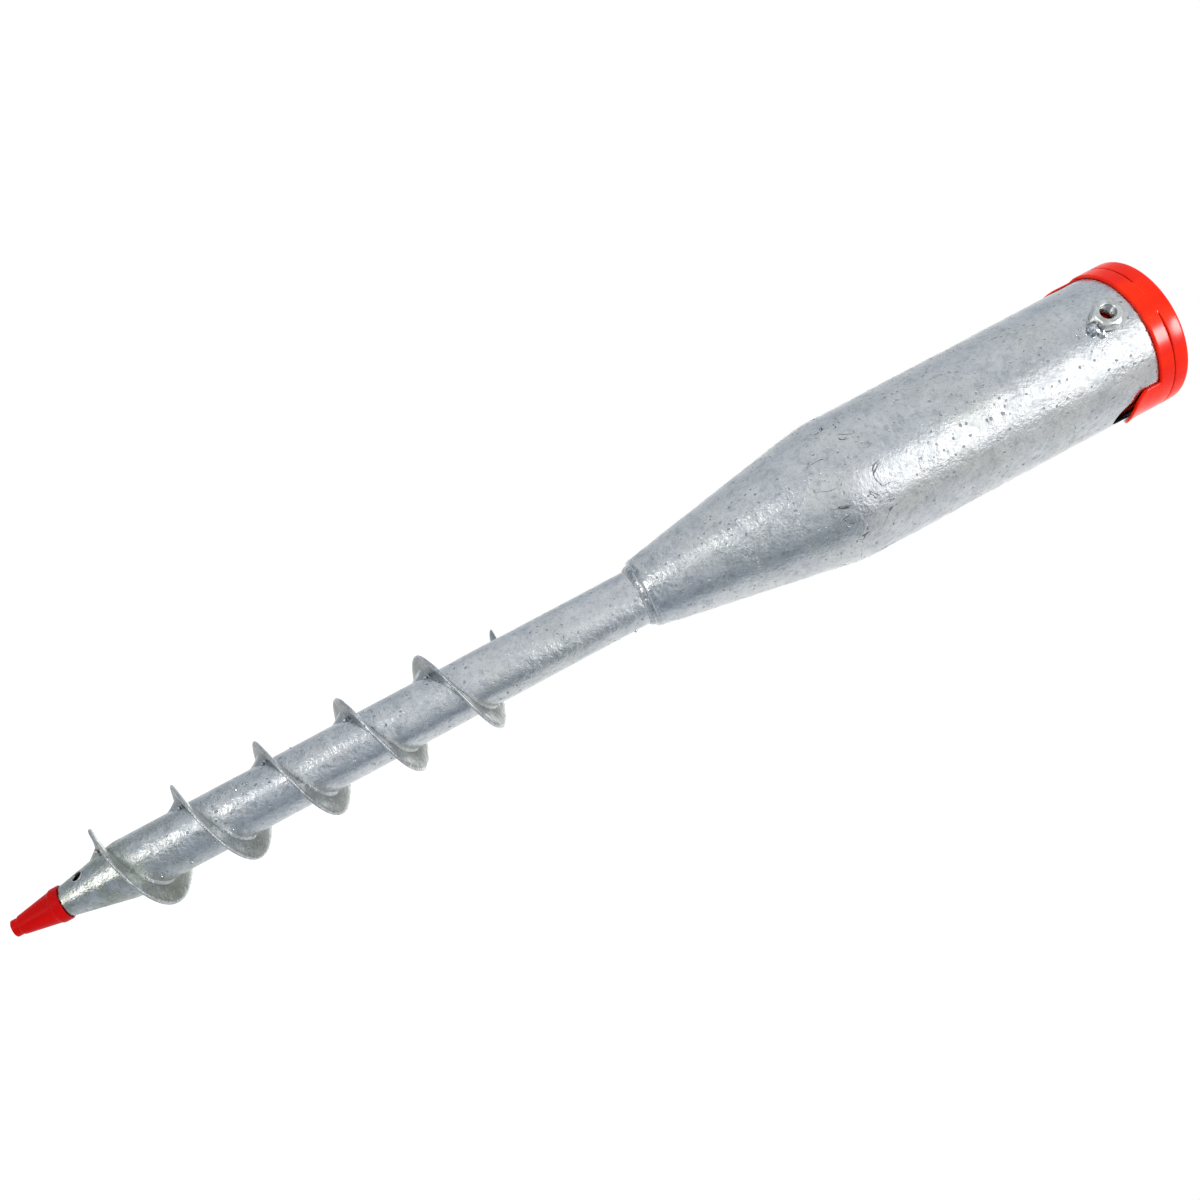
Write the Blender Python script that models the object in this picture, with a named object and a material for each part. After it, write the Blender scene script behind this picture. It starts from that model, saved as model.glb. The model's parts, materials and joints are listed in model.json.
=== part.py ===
"""Screw-in ground socket for a round post, hot-dip galvanised, with its plastic caps.

The socket's axis is +Z.  The origin is the centre of the driving point's end, so the
steel stands upright on its point with the post socket at the top.  Metres throughout.
"""
import bpy
import bmesh
import math
from mathutils import Matrix, Vector

# ---------------------------------------------------------------- driving dimensions
GAP = 0.0003                 # clearance between neighbouring pieces

SOCKET_RADIUS = 0.04445      # 88.9 mm tube
SOCKET_WALL = 0.003
SOCKET_RIM_Z = 0.7308
CONE_TOP_Z = 0.5233          # where the tube starts to close down
CONE_FOOT_Z = 0.3940
CONE_FOOT_RADIUS = 0.0212    # closes down to 42.4 mm
CONE_FOOT_ROUND = 0.0026
SHOULDER_HALF = 0.008        # the tube and the cone blend over this height each way

STEM_RADIUS = 0.0171
STEM_WALL = 0.0026
STEM_TOP_Z = 0.4100          # the stem reaches into the cone
POINT_BASE_Z = 0.0666
POINT_SLOPE = 0.224          # radius gained per metre of height
POINT_END_Z = 0.0035
VENT_RADIUS = 0.0031
VENT_Z = 0.0438
VENT_ANGLE = math.radians(235)

SOCKET_WELD_LEG = 0.0036     # length of the weld fillet along the stem

BLADE_RADIUS = 0.0300
BLADE_PITCH = 0.0510
BLADE_THICKNESS = 0.0028
BLADE_EDGE = 0.0022          # thickness at the rounded outer edge
BLADE_PHASE = math.radians(200)
BLADE_PHASE_Z = 0.0576       # height of the blade's middle at BLADE_PHASE
BLADE_START = math.radians(200 - 92)
BLADE_FULL = math.radians(200 + 25)
BLADE_END = math.radians(163 + 5 * 360)
BLADE_LEAD = 0.0020          # the first turn is stretched up the stem by this much
BLADE_LEAD_END = math.radians(200 + 360)
BLADE_STEP = math.radians(360 / 32)
UPPER_WELD = (math.radians(95), math.radians(190))   # where a turn's stitches start and end
LOWER_WELD = (math.radians(-60), math.radians(30))
UPPER_WELD_LEGS = (0.0024, 0.0026)                   # out along the blade, up along the stem
LOWER_WELD_LEGS = (0.0042, 0.0064)                   # out along the blade, down along the stem

NUT_FLATS = 0.017            # M10, 17 mm across flats
NUT_HEIGHT = 0.008
NUT_BORE = 0.0085
NUT_Z = 0.7040
NUT_TURN = {"front": math.radians(15), "back": math.radians(-8)}
TACK_RADIUS = 0.0043
TACK_DROP = 0.0090           # the weld tack's centre below the nut's
TACK_ACROSS = {"front": 0.0027, "back": -0.0025}
SCREW_HOLE = 0.011
BAR_HOLE = 0.022
BAR_HOLE_Z = 0.7065

CAP_RADIUS = 0.0466
CAP_FOOT_Z = 0.7233
CAP_SEAM_Z = 0.7331
CAP_TOP_Z = 0.7430
CAP_DECK = 0.0018
CAP_CORNER = 0.0016          # the lid's rounded top edge
SKIRT_FOOT_Z = 0.7026
SKIRT_WALL = 0.0021
SKIRT_CLEARANCE = 0.00045    # between the skirt and the tube's bore
SKIRT_NOTCH_RADIUS = 0.0150  # half-round notches that keep the skirt clear of the bar holes
TONGUE_HALF_ANGLE = math.radians(23.2)
TONGUE_STRAIGHT_Z = 0.7140
TONGUE_TIP_Z = 0.7052
TONGUE_FLARE = 0.0010
LID_WALL = 0.0020
LID_PLUG_DEPTH = 0.0038
LID_HINGE_Y = -0.0469

GUARD_END_RADIUS = 0.0050
GUARD_COLLAR_Z = 0.0037
GUARD_NECK_RADIUS = 0.0056
GUARD_WALL = 0.0012
GUARD_RIM_Z = 0.0240
GUARD_MOUTH_Z = 0.0304
GUARD_RIM_RADIUS = 0.0102
GUARD_END_WALL = 0.0016

SOCKET_STEPS = 64
STEM_STEPS = 32

GALVANISED = ("galvanised", (0.56, 0.59, 0.62, 1.0), 0.42, 1.0)
WELD_ZINC = ("weld_zinc", (0.62, 0.64, 0.66, 1.0), 0.35, 1.0)
NUT_ZINC = ("nut_zinc", (0.60, 0.62, 0.60, 1.0), 0.30, 1.0)
CAP_RED = ("cap_red", (0.90, 0.07, 0.02, 1.0), 0.28, 0.0)
GUARD_RED = ("guard_red", (0.62, 0.01, 0.01, 1.0), 0.35, 0.0)


# ---------------------------------------------------------------- helpers
def clear_scene():
    for obj in list(bpy.data.objects):
        bpy.data.objects.remove(obj, do_unlink=True)


def material(finish):
    name, colour, roughness, metallic = finish
    mat = bpy.data.materials.get(name)
    if mat is None:
        mat = bpy.data.materials.new(name)
        mat.use_nodes = True
        shader = mat.node_tree.nodes["Principled BSDF"]
        shader.inputs["Base Color"].default_value = colour
        shader.inputs["Roughness"].default_value = roughness
        shader.inputs["Metallic"].default_value = metallic
    return mat


def add_object(name, bm, finish=None, sharp=math.radians(35)):
    """Put a bmesh in the scene as an object, shaded smooth up to the sharp angle."""
    bmesh.ops.recalc_face_normals(bm, faces=bm.faces)
    mesh = bpy.data.meshes.new(name)
    bm.to_mesh(mesh)
    bm.free()
    obj = bpy.data.objects.new(name, mesh)
    bpy.context.scene.collection.objects.link(obj)
    if finish:
        mesh.materials.append(material(finish))
        mesh.shade_smooth()
        mesh.set_sharp_from_angle(angle=sharp)
    return obj


def turned(outline, steps):
    """Spin a closed outline of (radius, height) points about Z."""
    bm = bmesh.new()
    verts = [bm.verts.new((r, 0.0, z)) for r, z in outline]
    edges = [bm.edges.new((a, b)) for a, b in zip(verts, verts[1:] + verts[:1])]
    bmesh.ops.spin(bm, geom=verts + edges, cent=(0, 0, 0), axis=(0, 0, 1), angle=2 * math.pi,
                   steps=steps, use_merge=True)
    bmesh.ops.remove_doubles(bm, verts=bm.verts, dist=1e-6)
    bmesh.ops.dissolve_degenerate(bm, edges=bm.edges, dist=1e-6)
    return bm


def swept(sections):
    """Join a row of equal sections, each a loop of points, into a solid with two end caps."""
    bm = bmesh.new()
    rows = [[bm.verts.new(p) for p in loop] for loop in sections]
    count = len(rows[0])
    for row, following in zip(rows, rows[1:]):
        for i in range(count):
            j = (i + 1) % count
            bm.faces.new((row[i], row[j], following[j], following[i]))
    bm.faces.new(rows[0])
    bm.faces.new(rows[-1])
    return bm


def arc(centre, radius, start, end, steps):
    """Points of (radius, height) round a centre, from one angle in degrees to another."""
    points = []
    for i in range(steps + 1):
        angle = math.radians(start + (end - start) * i / steps)
        points.append((centre[0] + radius * math.cos(angle), centre[1] + radius * math.sin(angle)))
    return points


def cylinder(name, radius, length, place, direction, steps):
    """A cutter: a cylinder centred on place, along direction."""
    bm = bmesh.new()
    bmesh.ops.create_cone(bm, cap_ends=True, segments=steps, radius1=radius, radius2=radius,
                          depth=length)
    obj = add_object(name, bm)
    obj.location = place
    obj.rotation_mode = "QUATERNION"
    obj.rotation_quaternion = Vector((0, 0, 1)).rotation_difference(Vector(direction))
    obj.hide_render = True
    obj.display_type = "WIRE"
    return obj


def boolean(obj, other, operation):
    mod = obj.modifiers.new(other.name, "BOOLEAN")
    mod.operation = operation
    mod.solver = "EXACT"
    mod.object = other


def polar(radius, angle, z):
    return Vector((radius * math.cos(angle), radius * math.sin(angle), z))


def point_radius(z):
    """Radius of the steel stem, whose lower end closes down to the driving point."""
    return STEM_RADIUS - POINT_SLOPE * max(0.0, POINT_BASE_Z - z)


# ---------------------------------------------------------------- steel
def shoulder(radius, steps):
    """Points down the blend from the tube of this radius to the cone below it."""
    slope = (SOCKET_RADIUS - CONE_FOOT_RADIUS) / (CONE_TOP_Z - CONE_FOOT_Z)
    points = []
    for i in range(steps + 1):
        t = i / steps
        z = CONE_TOP_Z + SHOULDER_HALF * (1 - 2 * t)
        points.append((radius - slope * SHOULDER_HALF * t * t, z))
    return points


def socket_tube():
    """The post tube, closed down to a cone at its foot, with its four holes."""
    outer = [(SOCKET_RADIUS, SOCKET_RIM_Z)]
    outer += shoulder(SOCKET_RADIUS, 4)
    round_centre = (CONE_FOOT_RADIUS - CONE_FOOT_ROUND, CONE_FOOT_Z + CONE_FOOT_ROUND)
    outer += reversed(arc(round_centre, CONE_FOOT_ROUND, -90, -8, 3))
    inner = [(CONE_FOOT_RADIUS - SOCKET_WALL, CONE_FOOT_Z)]
    inner += reversed(shoulder(SOCKET_RADIUS - SOCKET_WALL, 4))
    inner += [(SOCKET_RADIUS - SOCKET_WALL, SOCKET_RIM_Z)]
    tube = add_object("socket_tube", turned(outer + inner, SOCKET_STEPS), GALVANISED)
    wide = 3 * SOCKET_RADIUS
    screw = cylinder("cut_screw_holes", SCREW_HOLE / 2, wide, (0, 0, NUT_Z), (0, 1, 0), 20)
    bar = cylinder("cut_bar_holes", BAR_HOLE / 2, wide, (0, 0, BAR_HOLE_Z), (1, 0, 0), 32)
    boolean(tube, screw, "DIFFERENCE")
    boolean(tube, bar, "DIFFERENCE")
    return tube


def stem_tube():
    """The narrow tube, open at the top, its lower end swaged to a solid point."""
    inner_radius = STEM_RADIUS - STEM_WALL
    hollow_foot = POINT_BASE_Z - (inner_radius - 0.0010) / POINT_SLOPE
    outline = [(0.0, POINT_END_Z), (point_radius(POINT_END_Z + 0.0005), POINT_END_Z),
               (point_radius(POINT_END_Z + 0.0012), POINT_END_Z + 0.0012),
               (STEM_RADIUS, POINT_BASE_Z), (STEM_RADIUS, STEM_TOP_Z),
               (inner_radius, STEM_TOP_Z), (inner_radius, POINT_BASE_Z),
               (0.0010, hollow_foot), (0.0, hollow_foot)]
    stem = add_object("stem_tube", turned(outline, STEM_STEPS), GALVANISED)
    reach = 0.030
    middle = polar(reach / 2 + 0.002, VENT_ANGLE, VENT_Z)
    vent = cylinder("cut_vent", VENT_RADIUS, reach, middle, polar(1, VENT_ANGLE, 0), 16)
    boolean(stem, vent, "DIFFERENCE")
    return stem


def blade_height(angle):
    """Height of the middle of the blade's thickness at this angle of the helix."""
    lead = max(0.0, BLADE_LEAD_END - angle) / (BLADE_LEAD_END - BLADE_START)
    return BLADE_PHASE_Z + BLADE_LEAD * lead + BLADE_PITCH * (angle - BLADE_PHASE) / (2 * math.pi)


def blade_outer(angle):
    """Outer radius of the blade, which rises out of the point over its first stretch."""
    if angle >= BLADE_FULL:
        return BLADE_RADIUS
    t = (angle - BLADE_START) / (BLADE_FULL - BLADE_START)
    start = point_radius(blade_height(angle)) + 0.002
    return start + (BLADE_RADIUS - start) * math.sin(t * math.pi / 2)


def steel_clear(z):
    """Radius just outside the steel stem at this height."""
    return point_radius(z) + GAP + 0.00015


def blade_root(angle):
    """Inner radius of the blade, clear of the steel at the widest part of its section."""
    return steel_clear(blade_height(angle) + BLADE_THICKNESS / 2)


def helix_angles(start, end, step):
    count = max(2, round((end - start) / step))
    return [start + (end - start) * i / count for i in range(count + 1)]


def auger_blade():
    """The screw blade: a right-handed helix with a thinner, rounded outer edge."""
    sections = []
    for angle in helix_angles(BLADE_START, BLADE_END, BLADE_STEP):
        z = blade_height(angle)
        outer = blade_outer(angle)
        root = blade_root(angle)
        half = BLADE_THICKNESS / 2
        edge = BLADE_EDGE / 2
        outline = [(root, z - half), (outer - 0.003, z - half), (outer - 0.0006, z - edge), (outer, z),
                   (outer - 0.0006, z + edge), (outer - 0.003, z + half), (root, z + half)]
        if outer - root < 0.0042:
            middle = root + (outer - root) * 0.5
            outline[1] = (middle, z - half)
            outline[5] = (middle, z + half)
        sections.append([polar(r, angle, h) for r, h in outline])
    return add_object("auger_blade", swept(sections), GALVANISED)


def blade_weld(name, start, end, side, legs):
    """A weld stitch in the corner between the stem and one side of the blade."""
    out, along = legs
    sections = []
    for angle in helix_angles(start, end, math.radians(10)):
        root = blade_root(angle)
        near = blade_height(angle) + side * (BLADE_THICKNESS / 2 + GAP)
        far = near + side * along
        foot = min(root, steel_clear(far))
        outline = [(root, near), (root + out, near), (root + 0.36 * out, near + side * 0.36 * along),
                   (foot + 0.0001, far), (foot, far)]
        sections.append([polar(r, angle, h) for r, h in outline])
    return add_object(name, swept(sections), WELD_ZINC)


def blade_welds():
    """A weld stitch above the blade and one below it on each turn."""
    for turn in range(5):
        base = BLADE_PHASE + turn * 2 * math.pi
        blade_weld(f"blade_weld_upper_{turn + 1}", base + UPPER_WELD[0], base + UPPER_WELD[1], 1,
                   UPPER_WELD_LEGS)
        blade_weld(f"blade_weld_lower_{turn + 1}", base + LOWER_WELD[0], base + LOWER_WELD[1], -1,
                   LOWER_WELD_LEGS)


def socket_weld():
    """The weld ring that joins the cone's foot to the stem."""
    foot = CONE_FOOT_Z - GAP
    inner = STEM_RADIUS + GAP
    reach = CONE_FOOT_RADIUS - CONE_FOOT_ROUND - inner
    outline = [(inner, foot), (inner, foot - SOCKET_WELD_LEG), (inner + 0.0004, foot - SOCKET_WELD_LEG),
               (inner + 0.6 * reach, foot - 0.4 * SOCKET_WELD_LEG), (inner + reach, foot)]
    return add_object("socket_weld", turned(outline, 48), WELD_ZINC)


def hexagon(side, flats, height):
    """A hexagonal prism standing off the tube where the nut of this side sits."""
    sign = -1 if side == "front" else 1
    seat = SOCKET_RADIUS + GAP
    corner = flats / 2 / math.cos(math.radians(30))
    bm = bmesh.new()
    bmesh.ops.create_cone(bm, cap_ends=True, segments=6, radius1=corner, radius2=corner,
                          depth=height)
    upright = Matrix.Rotation(math.radians(90), 4, "X")
    turn = Matrix.Rotation(NUT_TURN[side], 4, "Y")
    place = Matrix.Translation((0, sign * (seat + NUT_HEIGHT / 2), NUT_Z))
    bmesh.ops.transform(bm, matrix=place @ turn @ upright, verts=bm.verts)
    return bm


def clamp_nut(side):
    """A hexagon nut on the outside of the tube, in line with its screw hole."""
    sign = -1 if side == "front" else 1
    nut = add_object(f"clamp_nut_{side}", hexagon(side, NUT_FLATS, NUT_HEIGHT), NUT_ZINC,
                     sharp=math.radians(20))
    bore = cylinder(f"cut_nut_{side}", NUT_BORE / 2, 0.03, (0, sign * 0.049, NUT_Z), (0, 1, 0), 24)
    boolean(nut, bore, "DIFFERENCE")
    return nut


def nut_weld(side):
    """The tack of weld at the nut's lower corner."""
    sign = -1 if side == "front" else 1
    bm = bmesh.new()
    bmesh.ops.create_icosphere(bm, subdivisions=2, radius=TACK_RADIUS)
    centre = Vector((TACK_ACROSS[side], sign * (SOCKET_RADIUS + 0.0012), NUT_Z - TACK_DROP))
    bmesh.ops.translate(bm, vec=centre, verts=bm.verts)
    # the flat side of the tack lies on the tube
    keep = sign * (SOCKET_RADIUS + GAP)
    bmesh.ops.bisect_plane(bm, geom=bm.verts[:] + bm.edges[:] + bm.faces[:], plane_co=(0, keep, 0),
                           plane_no=(0, -sign, 0), clear_outer=True)
    rim = [edge for edge in bm.edges if edge.is_boundary]
    bmesh.ops.contextual_create(bm, geom=rim)
    tack = add_object(f"nut_weld_{side}", bm, WELD_ZINC, sharp=math.radians(60))
    room = hexagon(side, NUT_FLATS + 2 * GAP, 0.03)
    cutter = add_object(f"cut_tack_{side}", room)
    cutter.hide_render = True
    cutter.display_type = "WIRE"
    boolean(tack, cutter, "DIFFERENCE")
    return tack


# ---------------------------------------------------------------- plastic
def tongue(side):
    """A pull tab below the collar, curved with the tube and standing off it at its tip."""
    centre = 0.0 if side == "right" else math.pi
    columns = 10
    heights = [CAP_FOOT_Z + 0.004, CAP_FOOT_Z, TONGUE_STRAIGHT_Z]
    drop = TONGUE_STRAIGHT_Z - TONGUE_TIP_Z
    heights += [TONGUE_STRAIGHT_Z - drop * math.sin(math.radians(a)) for a in (25, 45, 62, 78)]
    sections = []
    for z in heights:
        below = max(0.0, TONGUE_STRAIGHT_Z - z) / drop
        half = TONGUE_HALF_ANGLE * math.sqrt(max(0.0, 1 - below * below))
        flare = TONGUE_FLARE * below * below
        outer = CAP_RADIUS - 0.0002 + flare
        inner = SOCKET_RADIUS + GAP + 0.00005 + flare
        angles = [centre + half * (2 * i / columns - 1) for i in range(columns + 1)]
        loop = [polar(outer, a, z) for a in angles]
        loop += [polar(inner, a, z) for a in reversed(angles)]
        sections.append(loop)
    obj = add_object(f"cut_tongue_{side}", swept(sections))
    obj.hide_render = True
    obj.display_type = "WIRE"
    return obj


def cap_collar():
    """The collar: an outer band, a deck over the rim and a notched skirt inside the bore."""
    band_inner = SOCKET_RADIUS + GAP
    skirt_outer = SOCKET_RADIUS - SOCKET_WALL - SKIRT_CLEARANCE
    skirt_inner = skirt_outer - SKIRT_WALL
    deck_foot = SOCKET_RIM_Z + GAP
    deck_top = CAP_SEAM_Z - GAP / 2
    outline = [(CAP_RADIUS, deck_top - 0.0004), (CAP_RADIUS, CAP_FOOT_Z + 0.0005),
               (CAP_RADIUS - 0.0005, CAP_FOOT_Z), (band_inner, CAP_FOOT_Z), (band_inner, deck_foot),
               (skirt_outer, deck_foot), (skirt_outer, SKIRT_FOOT_Z), (skirt_inner, SKIRT_FOOT_Z),
               (skirt_inner, deck_top), (CAP_RADIUS - 0.0004, deck_top)]
    collar = add_object("cap_collar", turned(outline, SOCKET_STEPS), CAP_RED)
    boolean(collar, tongue("right"), "UNION")
    boolean(collar, tongue("left"), "UNION")
    # the cutter stops inside the tube's wall, short of the band and the tongues
    across = 2 * SOCKET_RADIUS - SOCKET_WALL
    notch = cylinder("cut_skirt_notches", SKIRT_NOTCH_RADIUS, across, (0, 0, SKIRT_FOOT_Z), (1, 0, 0), 32)
    boolean(collar, notch, "DIFFERENCE")
    return collar


def cap_lid():
    """The lid: a disc with a rim that continues the collar, and a plug ring inside it."""
    foot = CAP_SEAM_Z + GAP / 2
    plug_outer = SOCKET_RADIUS - SOCKET_WALL - SKIRT_CLEARANCE - SKIRT_WALL - GAP - 0.0001
    plug_inner = plug_outer - LID_WALL
    plug_foot = foot - LID_PLUG_DEPTH
    under = CAP_TOP_Z - CAP_DECK
    rim_inner = CAP_RADIUS - LID_WALL
    corner_centre = (CAP_RADIUS - CAP_CORNER, CAP_TOP_Z - CAP_CORNER)
    outline = [(0.0, CAP_TOP_Z)]
    outline += reversed(arc(corner_centre, CAP_CORNER, 0, 90, 3))
    outline += [(CAP_RADIUS, foot + 0.0004), (CAP_RADIUS - 0.0004, foot), (rim_inner, foot),
                (rim_inner, under), (plug_outer, under), (plug_outer, plug_foot + 0.0008),
                (plug_outer - 0.0008, plug_foot), (plug_inner, plug_foot), (plug_inner, under),
                (0.0, under)]
    bm = turned(outline, SOCKET_STEPS)
    pivot = Vector((0, LID_HINGE_Y, CAP_SEAM_Z))
    bmesh.ops.translate(bm, vec=-pivot, verts=bm.verts)
    lid = add_object("cap_lid", bm, CAP_RED)
    lid.location = pivot
    return lid


def tip_guard():
    """The transport guard pushed over the driving point, closed at its small end."""
    neck = GUARD_COLLAR_Z
    bore = GUARD_END_RADIUS - GUARD_WALL
    seat = GUARD_RIM_RADIUS - 0.0004
    outer = [(0.0, 0.0), (GUARD_END_RADIUS - 0.0005, 0.0), (GUARD_END_RADIUS, 0.0005),
             (GUARD_END_RADIUS, neck), (GUARD_NECK_RADIUS, neck + 0.0006), (seat - 0.0004, GUARD_RIM_Z)]
    outer += [(GUARD_RIM_RADIUS, GUARD_RIM_Z + 0.0014), (GUARD_RIM_RADIUS, GUARD_MOUTH_Z - 0.0012)]
    outer += [(GUARD_RIM_RADIUS - 0.0005, GUARD_MOUTH_Z)]
    mouth = point_radius(GUARD_MOUTH_Z) + GAP
    inner = [(mouth, GUARD_MOUTH_Z), (point_radius(GUARD_RIM_Z) + GAP + 0.0001, GUARD_RIM_Z),
             (bore, neck), (bore, GUARD_END_WALL), (0.0, GUARD_END_WALL)]
    return add_object("tip_guard", turned(outer + inner, STEM_STEPS), GUARD_RED)


# ---------------------------------------------------------------- assembly
def build():
    clear_scene()
    socket_tube()
    stem_tube()
    auger_blade()
    blade_welds()
    socket_weld()
    for side in ("front", "back"):
        clamp_nut(side)
        nut_weld(side)
    cap_collar()
    cap_lid()
    tip_guard()
    bpy.context.view_layer.update()


build()
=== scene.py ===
"""Looks of the screw-in ground socket: galvanised steel, its welds and its red plastic caps.

Each piece is a fine mesh in the place of its CAD nodes and rides on their body. The bead
round the vent hole, the zinc drops and the hinge's web are extra, with no node of their own.
Metres, +Z along the socket's axis, the driving point at z = 0.
"""
import json
import math

import bmesh
import bpy
from mathutils import Matrix, Vector, noise


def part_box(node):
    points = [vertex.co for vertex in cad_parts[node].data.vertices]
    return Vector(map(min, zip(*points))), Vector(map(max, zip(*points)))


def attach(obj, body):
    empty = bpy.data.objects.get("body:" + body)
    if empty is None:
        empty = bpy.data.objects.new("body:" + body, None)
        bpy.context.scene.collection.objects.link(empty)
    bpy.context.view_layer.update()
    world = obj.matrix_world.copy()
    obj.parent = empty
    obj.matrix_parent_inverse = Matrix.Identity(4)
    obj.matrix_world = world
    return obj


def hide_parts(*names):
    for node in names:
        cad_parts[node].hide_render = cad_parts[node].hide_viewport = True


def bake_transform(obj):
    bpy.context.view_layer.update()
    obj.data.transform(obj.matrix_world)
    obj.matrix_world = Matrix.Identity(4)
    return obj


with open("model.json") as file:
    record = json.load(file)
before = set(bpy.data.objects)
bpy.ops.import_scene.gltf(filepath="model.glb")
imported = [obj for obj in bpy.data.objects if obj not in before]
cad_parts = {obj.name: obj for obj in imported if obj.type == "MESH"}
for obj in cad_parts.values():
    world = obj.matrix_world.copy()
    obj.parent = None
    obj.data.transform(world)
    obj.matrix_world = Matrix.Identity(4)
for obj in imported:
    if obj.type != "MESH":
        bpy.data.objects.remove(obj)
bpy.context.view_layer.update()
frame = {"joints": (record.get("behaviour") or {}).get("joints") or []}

MM = 0.001
TAU = 2 * math.pi

# ---- sizes, from the frame
TUBE_LOW, TUBE_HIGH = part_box("socket_tube")
STEM_LOW, STEM_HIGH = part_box("stem_tube")
COLLAR_LOW, COLLAR_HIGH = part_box("cap_collar")
LID_LOW, LID_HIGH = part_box("cap_lid")
GUARD_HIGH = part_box("tip_guard")[1]

TUBE_RADIUS = TUBE_HIGH.x
RIM_Z = TUBE_HIGH.z
CONE_FOOT_Z = TUBE_LOW.z
STEM_RADIUS = STEM_HIGH.x
CAP_RADIUS = LID_HIGH.x
LID_TOP_Z = LID_HIGH.z
SKIRT_FOOT_Z = COLLAR_LOW.z
DECK_TOP_Z = COLLAR_HIGH.z
GUARD_RIM_RADIUS = GUARD_HIGH.x
GUARD_MOUTH_Z = GUARD_HIGH.z
GUARD_TRAVEL = next(max(j["range_m"]) for j in frame["joints"] if j["name"] == "guard_pull")

# ---- sizes of the steel
TUBE_WALL = 3.0 * MM
CONE_TOP_Z = 523.3 * MM
CONE_FOOT_RADIUS = 21.2 * MM
CONE_FOOT_ROUND = 2.6 * MM
SHOULDER_REACH = 8.0 * MM
NUT_Z = 704.0 * MM
SCREW_HOLE_RADIUS = 5.5 * MM
BAR_HOLE_Z = 706.5 * MM
BAR_HOLE_RADIUS = 11.0 * MM

STEM_WALL = 2.6 * MM
POINT_BASE_Z = 66.6 * MM
POINT_SLOPE = 0.224
VENT_Z = 43.8 * MM
VENT_ANGLE = math.radians(235)
VENT_RADIUS = 3.1 * MM

BLADE_RADIUS = 30.0 * MM
BLADE_PITCH = 51.0 * MM
BLADE_HALF = 1.35 * MM
BLADE_EDGE = 1.1 * MM
BLADE_PHASE = math.radians(200)
BLADE_PHASE_Z = 57.6 * MM
BLADE_START = math.radians(108)
BLADE_FULL = math.radians(225)
BLADE_TURNS = 5
BLADE_END = math.radians(163 + 360 * BLADE_TURNS)
BLADE_LEAD = 2.0 * MM
BLADE_LEAD_END = math.radians(560)
UPPER_WELD = (math.radians(95), math.radians(190))
LOWER_WELD = (math.radians(-60), math.radians(30))
UPPER_LEGS = (1.5 * MM, 1.7 * MM)
LOWER_LEGS = (5.0 * MM, 7.2 * MM)

NUT_APOTHEM = 8.5 * MM
NUT_HEIGHT = 8.0 * MM
NUT_TURN = {"front": math.radians(15), "back": math.radians(-8)}
TACK_ACROSS = {"front": 2.7 * MM, "back": -2.5 * MM}
TACK_DROP = 9.0 * MM
THREAD_PITCH = 1.5 * MM
THREAD_RADIUS = 4.25 * MM
THREAD_DEPTH = 0.75 * MM

# drops of zinc: how many on the stem and at the cone's foot, and between which heights
STEM_DROPS = 26
STEM_DROP_HEIGHTS = (74 * MM, 388 * MM)
FOOT_DROPS = 14
FOOT_DROP_HEIGHTS = (396 * MM, 402 * MM)
SPATTER_DROPS = 16

# ---- sizes of the plastic
GAP = 0.3 * MM
CAP_FOOT_Z = 723.3 * MM
SKIRT_RADIUS = 41.0 * MM
SKIRT_WALL = 2.1 * MM
DECK_FOOT_Z = RIM_Z + GAP
TONGUE_HALF_ANGLE = math.radians(23.2)
TONGUE_STRAIGHT_Z = 714.0 * MM
TONGUE_TIP_Z = 705.2 * MM
TONGUE_FLARE = {"right": 1.5 * MM, "left": 0.5 * MM}
TONGUE_THIN = {"right": 0.05, "left": 0.48}
TONGUE_ROOT = 0.8 * MM
CAP_EDGE = 0.8 * MM
SEAM_EDGE = 0.8 * MM
NOTCH_RADIUS = 15.0 * MM


# ---- mesh helpers
def polar(radius, angle, z):
    return Vector((radius * math.cos(angle), radius * math.sin(angle), z))


def lerp(a, b, t):
    return a + (b - a) * t


def smooth(low, high, value):
    """0 at low, 1 at high and a smooth step between them; either may be the larger."""
    t = min(1.0, max(0.0, (value - low) / (high - low)))
    return t * t * (3 - 2 * t)


def grain(point, size, seed=0.0):
    """Smooth noise of about -1 to 1, with bumps about size across."""
    return noise.noise(Vector(point) / size + Vector((seed, 1.7 * seed, -seed)))


def scattered(k, step):
    """A number from 0 to 1 for each whole k, well spread for a step like 0.618."""
    return (k * step) % 1.0


def add_mesh(name, bm, mat=None, sharp=50.0):
    bmesh.ops.recalc_face_normals(bm, faces=bm.faces)
    mesh = bpy.data.meshes.new(name)
    bm.to_mesh(mesh)
    bm.free()
    obj = bpy.data.objects.new(name, mesh)
    bpy.context.scene.collection.objects.link(obj)
    if mat:
        mesh.materials.append(mat)
    mesh.shade_smooth()
    mesh.set_sharp_from_angle(angle=math.radians(sharp))
    return obj


def place(obj, body, slot_name, *nodes):
    """The piece rides on its body and stands for its CAD nodes; slot_name is not used."""
    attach(obj, body)
    if nodes:
        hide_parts(*nodes)
    return obj


def skin(loops, closed=True):
    """Faces over a row of equal closed loops; closed joins the last loop to the first."""
    bm = bmesh.new()
    verts = [[bm.verts.new(p) for p in loop] for loop in loops]
    count = len(verts[0])
    for i in range(len(verts) if closed else len(verts) - 1):
        k = (i + 1) % len(verts)
        for j in range(count):
            m = (j + 1) % count
            bm.faces.new((verts[i][j], verts[i][m], verts[k][m], verts[k][j]))
    if not closed:
        bm.faces.new(verts[0])
        bm.faces.new(verts[-1])
    bmesh.ops.remove_doubles(bm, verts=bm.verts, dist=1e-6)
    bmesh.ops.dissolve_degenerate(bm, edges=bm.edges, dist=1e-7)
    return bm


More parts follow.
